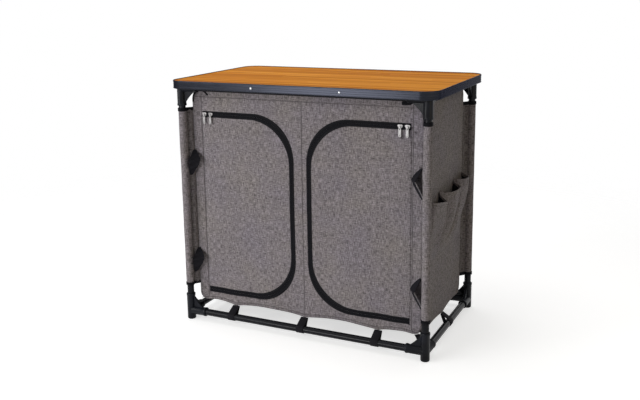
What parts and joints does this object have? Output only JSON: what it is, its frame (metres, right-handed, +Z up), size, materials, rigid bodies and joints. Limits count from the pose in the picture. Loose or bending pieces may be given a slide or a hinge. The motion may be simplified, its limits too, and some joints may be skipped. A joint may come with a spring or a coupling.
{
  "type": "folding camping cupboard",
  "caption": "Camping kitchen cupboard: tube frame with moulded corners, striped wood-look top in a dark metal edge, grey fabric cabinet with zipped doors, side pockets and webbing loops.",
  "frame": {"origin": "on the floor under the middle of the tabletop", "axes": "+X along the front to the right-hand end, +Y to the back, +Z up"},
  "size_m": [0.88, 0.522, 0.8],
  "materials": {
    "moulded_black": "satin black moulding",
    "tube_metal": "satin black powder coat",
    "edge_metal": "dark brushed anodising",
    "wood_top": "satin striped laminate",
    "grey_cloth": "coarse melange weave",
    "lining": "dark lining over board",
    "webbing": "black webbing",
    "zip_metal": "bright plated"
  },
  "bodies": {
    "cabinet": {"corner_lower_front_left": "moulded_black", "corner_upper_front_left": "moulded_black", "leg_front_left": "tube_metal", "sleeve_front_left": "grey_cloth", "corner_lower_front_right": "moulded_black", "corner_upper_front_right": "moulded_black", "leg_front_right": "tube_metal", "sleeve_front_right": "grey_cloth", "corner_lower_back_left": "moulded_black", "corner_upper_back_left": "moulded_black", "leg_back_left": "tube_metal", "sleeve_back_left": "grey_cloth", "corner_lower_back_right": "moulded_black", "corner_upper_back_right": "moulded_black", "leg_back_right": "tube_metal", "sleeve_back_right": "grey_cloth", "rail_lower_front": "tube_metal", "rail_lower_back": "tube_metal", "rail_lower_left": "tube_metal", "rail_lower_right": "tube_metal", "rail_upper_front": "tube_metal", "rail_upper_back": "tube_metal", "rail_upper_left": "tube_metal", "rail_upper_right": "tube_metal", "panel_front": "grey_cloth", "panel_back": "grey_cloth", "panel_left": "grey_cloth", "panel_right": "grey_cloth", "floor": "lining", "divider": "lining", "shelf_left_1": "lining", "shelf_left_2": "lining", "shelf_right_1": "lining", "shelf_right_2": "lining", "strap_front_left": "webbing", "strap_front_middle": "webbing", "strap_front_right": "webbing", "strap_back_left": "webbing", "strap_back_middle": "webbing", "strap_back_right": "webbing", "strap_left": "webbing", "strap_right": "webbing", "loop_upper_left": "webbing", "loop_upper_right": "webbing", "loop_lower_left": "webbing", "loop_lower_right": "webbing", "pockets_right": "grey_cloth"},
    "tabletop": {"tabletop_edge": "edge_metal", "tabletop_board": "wood_top"},
    "door_left": {"door_left": "grey_cloth"},
    "door_right": {"door_right": "grey_cloth"},
    "slider_left_inner": {"slider_left_inner": "zip_metal"},
    "pull_left_inner": {"pull_left_inner": "zip_metal"},
    "slider_left_outer": {"slider_left_outer": "zip_metal"},
    "pull_left_outer": {"pull_left_outer": "zip_metal"},
    "slider_right_inner": {"slider_right_inner": "zip_metal"},
    "pull_right_inner": {"pull_right_inner": "zip_metal"},
    "slider_right_outer": {"slider_right_outer": "zip_metal"},
    "pull_right_outer": {"pull_right_outer": "zip_metal"}
  },
  "joints": [
    {"name": "tabletop_lift", "type": "slide", "parent": "cabinet", "child": "tabletop", "axis": [0, 0, 1], "range_m": [0, 0.12]},
    {"name": "door_left_swing", "type": "hinge", "parent": "cabinet", "child": "door_left", "pos_m": [-0.352, -0.2015, 0.3965], "axis": [0, 0, -1], "range_deg": [0, 100], "deforming": ["loop_upper_left", "loop_lower_left"]},
    {"name": "slider_left_inner_travel", "type": "slide", "parent": "door_left", "child": "slider_left_inner", "axis": [1, 0, 0], "range_m": [0, 0.15]},
    {"name": "pull_left_inner_swing", "type": "hinge", "parent": "slider_left_inner", "child": "pull_left_inner", "pos_m": [-0.319, -0.2076, 0.69], "axis": [-1, 0, 0], "range_deg": [0, 170]},
    {"name": "slider_left_outer_travel", "type": "slide", "parent": "door_left", "child": "slider_left_outer", "axis": [1, 0, 0], "range_m": [0, 0.15]},
    {"name": "pull_left_outer_swing", "type": "hinge", "parent": "slider_left_outer", "child": "pull_left_outer", "pos_m": [-0.3415, -0.2076, 0.69], "axis": [-1, 0, 0], "range_deg": [0, 170]},
    {"name": "door_right_swing", "type": "hinge", "parent": "cabinet", "child": "door_right", "pos_m": [0.352, -0.2015, 0.3965], "axis": [0, 0, 1], "range_deg": [0, 100], "deforming": ["loop_upper_right", "loop_lower_right"]},
    {"name": "slider_right_inner_travel", "type": "slide", "parent": "door_right", "child": "slider_right_inner", "axis": [-1, 0, 0], "range_m": [0, 0.15]},
    {"name": "pull_right_inner_swing", "type": "hinge", "parent": "slider_right_inner", "child": "pull_right_inner", "pos_m": [0.317, -0.2076, 0.69], "axis": [-1, 0, 0], "range_deg": [0, 170]},
    {"name": "slider_right_outer_travel", "type": "slide", "parent": "door_right", "child": "slider_right_outer", "axis": [-1, 0, 0], "range_m": [0, 0.15]},
    {"name": "pull_right_outer_swing", "type": "hinge", "parent": "slider_right_outer", "child": "pull_right_outer", "pos_m": [0.3395, -0.2076, 0.69], "axis": [-1, 0, 0], "range_deg": [0, 170]}
  ],
  "couplings": [
    {"joint": "slider_left_outer_travel", "follows": "slider_left_inner_travel", "ratio": 1},
    {"joint": "slider_right_outer_travel", "follows": "slider_right_inner_travel", "ratio": 1}
  ]
}
